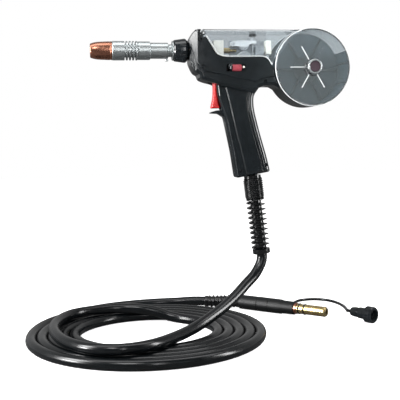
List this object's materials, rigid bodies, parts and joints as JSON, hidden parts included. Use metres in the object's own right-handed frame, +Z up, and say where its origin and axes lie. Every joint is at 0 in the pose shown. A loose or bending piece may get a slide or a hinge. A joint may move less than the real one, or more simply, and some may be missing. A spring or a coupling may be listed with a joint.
{
  "type": "mig welding torch",
  "caption": "Pistol-grip spool gun for MIG welding with clear drive canopy and spool housing, cable, power plug and control plug.",
  "frame": {"origin": "middle of the hand grip, on the gun centre plane", "axes": "+X back along the barrel, muzzle towards -X; +Y across the gun away from the clear cover; +Z up"},
  "size_m": [0.5507, 0.4025, 0.459],
  "materials": {
    "black_plastic": "moulded satin, fine spark texture",
    "black_rubber": "moulded matte",
    "cable_rubber": "extruded satin",
    "clear_plastic": "clear polished moulding",
    "white_nylon": "moulded satin",
    "red_plastic": "moulded gloss",
    "plum_plastic": "moulded satin",
    "copper": "polished copper",
    "aluminium": "turned satin",
    "steel": "turned bright",
    "dark_steel": "blackened",
    "brass": "turned bright"
  },
  "bodies": {
    "root": {"nozzle_insulator": "white_nylon", "contact_tip": "copper", "gas_diffuser": "brass", "front_barrel": "aluminium", "rear_barrel": "aluminium", "barrel_screw": "steel", "conductor_tube": "copper", "left_shell": "black_plastic", "right_shell": "black_plastic", "shell_screw_1": "dark_steel", "shell_screw_2": "dark_steel", "shell_screw_3": "dark_steel", "shell_screw_4": "dark_steel", "shell_screw_5": "dark_steel", "trigger_pin": "steel", "trigger_spring": "steel", "micro_switch": "black_plastic", "speed_potentiometer": "black_plastic", "pointer_dot": "white_nylon", "insulator_block": "white_nylon", "outlet_guide": "brass", "inlet_guide": "white_nylon", "drive_frame": "aluminium", "arm_pin": "steel", "tension_screw": "steel", "tension_spring": "steel", "motor": "steel", "gearbox": "dark_steel", "canopy_pin": "steel", "spool_spindle": "steel", "brake_spring": "steel", "cable_boot": "black_rubber", "strain_relief": "black_rubber", "inner_cable": "cable_rubber", "power_cable": "cable_rubber", "cable_coil": "cable_rubber", "cable_tail": "cable_rubber", "plug_relief": "black_rubber", "plug_grip": "black_plastic", "plug_collar": "copper", "power_plug": "brass", "o_ring_rear": "black_rubber", "o_ring_front": "black_rubber", "control_cable": "cable_rubber", "control_plug": "black_plastic"},
    "trigger_lever": {"trigger": "red_plastic"},
    "plunger": {"switch_plunger": "red_plastic"},
    "speed_wheel": {"speed_roller": "red_plastic"},
    "canopy": {"drive_canopy": "clear_plastic"},
    "cover": {"spool_cover": "clear_plastic"},
    "nut": {"thumb_nut": "steel", "nut_cap": "plum_plastic"},
    "hub": {"spool_hub": "black_plastic"},
    "driven_roll": {"drive_roll": "steel"},
    "arm": {"pressure_arm": "aluminium"},
    "idler": {"pressure_roll": "steel"},
    "knob": {"tension_knob": "black_plastic"},
    "lock_nut": {"barrel_nut": "black_plastic"},
    "gas_nozzle": {"nozzle": "copper"},
    "coupling_ring": {"plug_ring": "black_plastic"}
  },
  "joints": [
    {"name": "trigger_pull", "type": "hinge", "parent": "root", "child": "trigger_lever", "pos_m": [-0.04, 0, 0.092], "axis": [0, -1, 0], "range_deg": [0, 8], "stiffness_Nm_per_rad": 0.5, "springref_deg": -11.46},
    {"name": "plunger_travel", "type": "slide", "parent": "root", "child": "plunger", "axis": [1, 0, 0], "range_m": [0, 0.0036]},
    {"name": "speed_turn", "type": "hinge", "parent": "root", "child": "speed_wheel", "pos_m": [-0.0191, -0.0222, 0.107], "axis": [1, 0, 0], "range_deg": [-135, 135]},
    {"name": "canopy_open", "type": "hinge", "parent": "root", "child": "canopy", "pos_m": [-0.0665, 0, 0.1576], "axis": [0, -1, 0], "range_deg": [0, 52]},
    {"name": "cover_off", "type": "slide", "parent": "root", "child": "cover", "axis": [0, -1, 0], "range_m": [0, 0.06]},
    {"name": "nut_turn", "type": "hinge", "parent": "cover", "child": "nut", "pos_m": [0.0975, -0.033, 0.107], "axis": [0, -1, 0], "continuous": true},
    {"name": "hub_spin", "type": "hinge", "parent": "root", "child": "hub", "pos_m": [0.0975, 0, 0.107], "axis": [0, 1, 0], "continuous": true},
    {"name": "drive_spin", "type": "hinge", "parent": "root", "child": "driven_roll", "pos_m": [-0.002, 0, 0.1216], "axis": [0, 1, 0], "continuous": true},
    {"name": "arm_lift", "type": "hinge", "parent": "root", "child": "arm", "pos_m": [-0.018, 0, 0.144], "axis": [0, -1, 0], "range_deg": [0, 4], "stiffness_Nm_per_rad": 1, "springref_deg": -5.73, "deforming": ["tension_spring"]},
    {"name": "idler_spin", "type": "hinge", "parent": "arm", "child": "idler", "pos_m": [-0.002, 0, 0.1431], "axis": [0, 1, 0], "continuous": true},
    {"name": "tension_turn", "type": "hinge", "parent": "root", "child": "knob", "pos_m": [0.0126, 0.0026, 0.158], "axis": [0, 0, 1], "range_deg": [-540, 540]},
    {"name": "lock_nut_turn", "type": "hinge", "parent": "root", "child": "lock_nut", "pos_m": [-0.098, 0, 0.1345], "axis": [1, 0, 0], "continuous": true},
    {"name": "nozzle_off", "type": "slide", "parent": "root", "child": "gas_nozzle", "axis": [-1, 0, 0], "range_m": [0, 0.035]},
    {"name": "ring_turn", "type": "hinge", "parent": "root", "child": "coupling_ring", "pos_m": [0.1786, 0.031, -0.2807], "axis": [0.521, -0.8536, 0], "continuous": true}
  ],
  "couplings": [
    {"joint": "plunger_travel", "follows": "trigger_pull", "m_per_rad": 0.025},
    {"joint": "idler_spin", "follows": "drive_spin", "ratio": -1.5}
  ]
}
